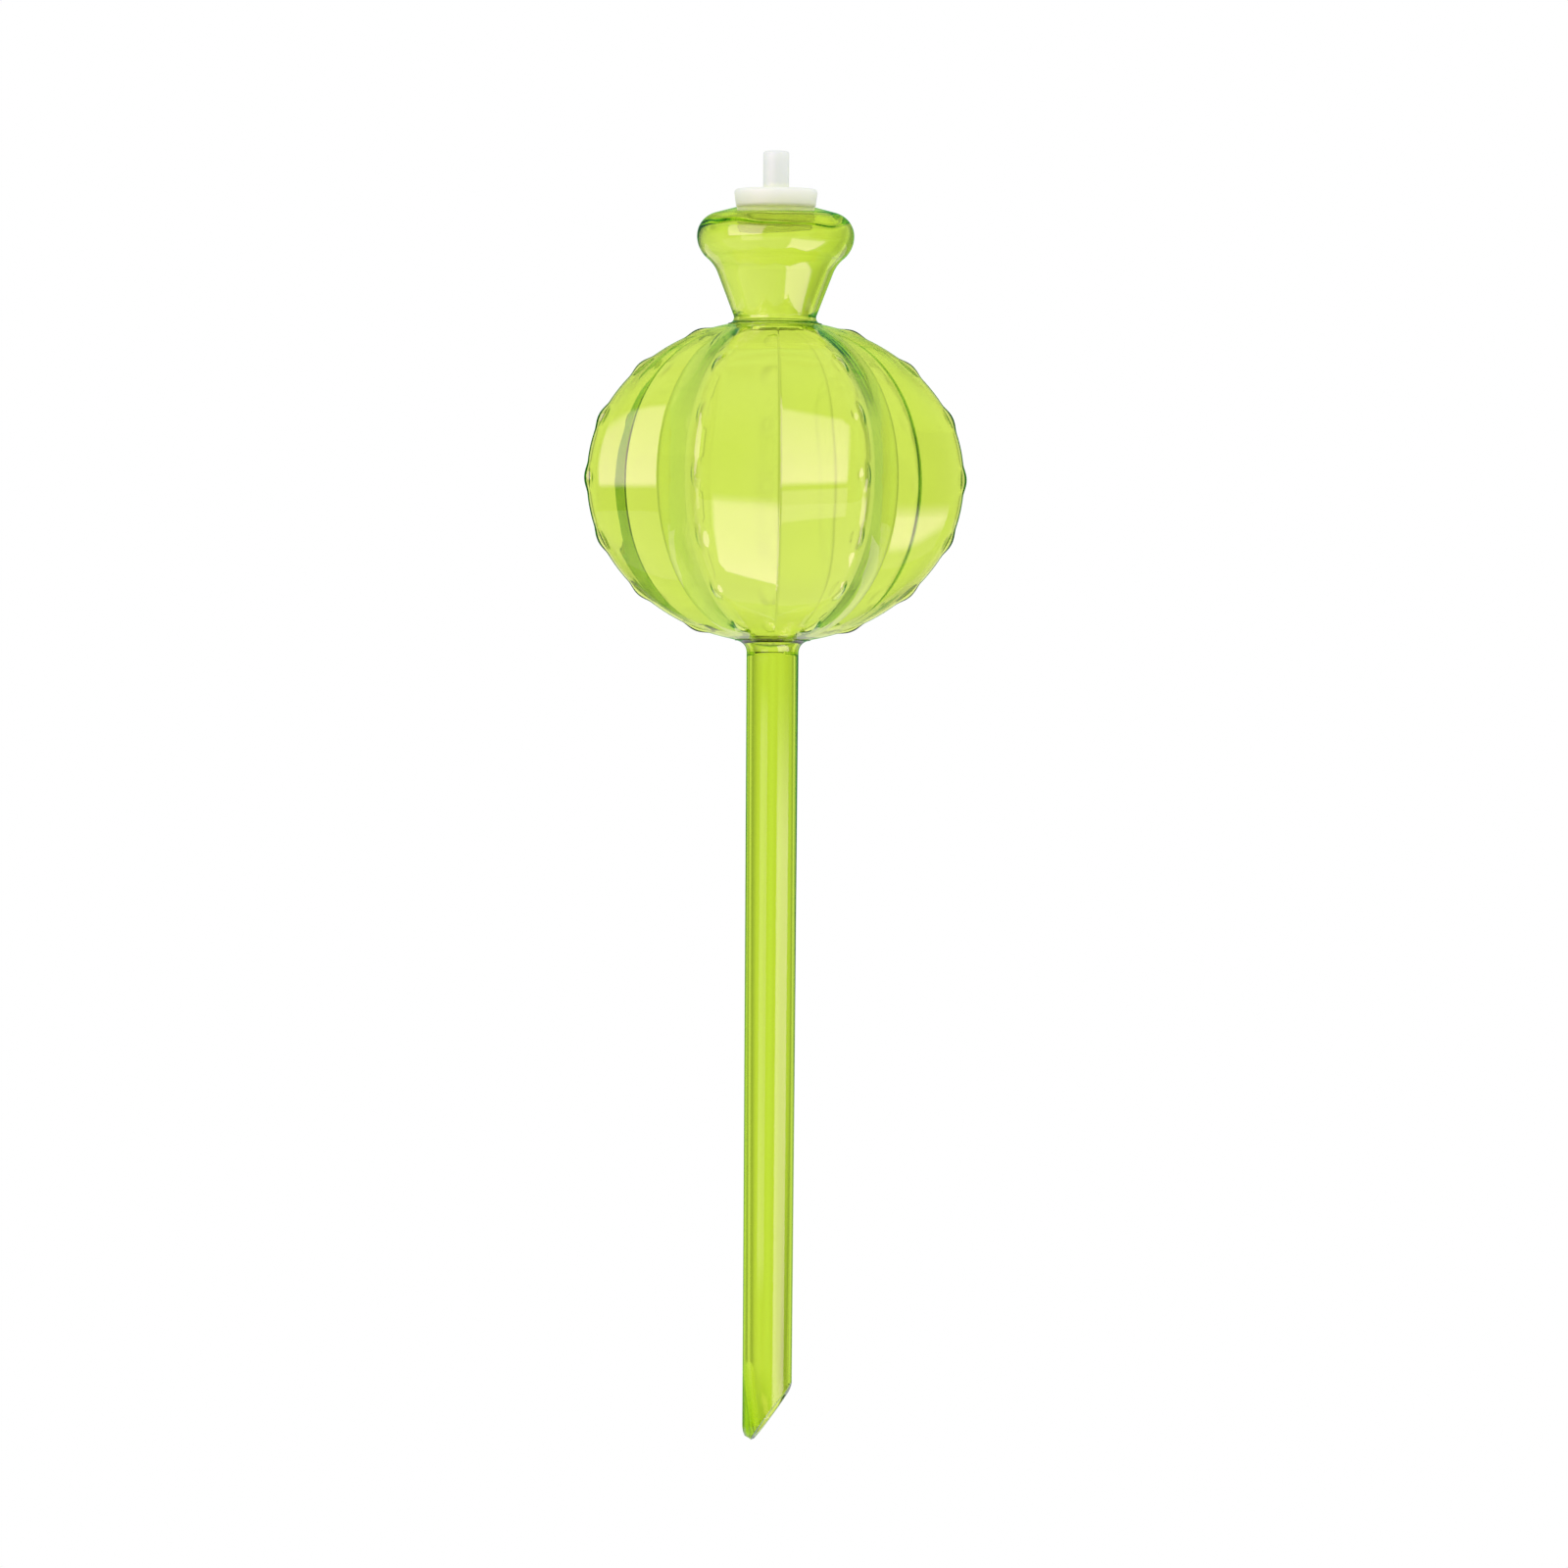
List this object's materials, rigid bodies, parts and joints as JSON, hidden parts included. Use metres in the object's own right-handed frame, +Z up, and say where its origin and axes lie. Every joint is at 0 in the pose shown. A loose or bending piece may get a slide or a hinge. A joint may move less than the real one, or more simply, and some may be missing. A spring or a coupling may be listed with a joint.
{
  "type": "watering globe",
  "caption": "Clear green ribbed watering globe with a flared neck, a pull-out white stopper and a hollow bevelled stake that feeds water slowly into potting soil.",
  "frame": {"origin": "on the axis where the stake meets the underside of the globe, the soil line when the stake is pushed right in", "axes": "+Z up along the stake towards the stopper; the pictured side faces -Y"},
  "size_m": [0.0779, 0.0768, 0.2631],
  "materials": {
    "clear_green_plastic": "clear lime-green tinted plastic, glossy",
    "white_silicone": "milky white, satin"
  },
  "bodies": {
    "vessel": {"stake_tube": "clear_green_plastic", "ribbed_globe": "clear_green_plastic", "mouth_neck": "clear_green_plastic"},
    "stopper": {"stopper": "white_silicone"}
  },
  "joints": [
    {"name": "stopper_lift", "type": "slide", "parent": "vessel", "child": "stopper", "axis": [0, 0, 1], "range_m": [0, 0.03]}
  ]
}
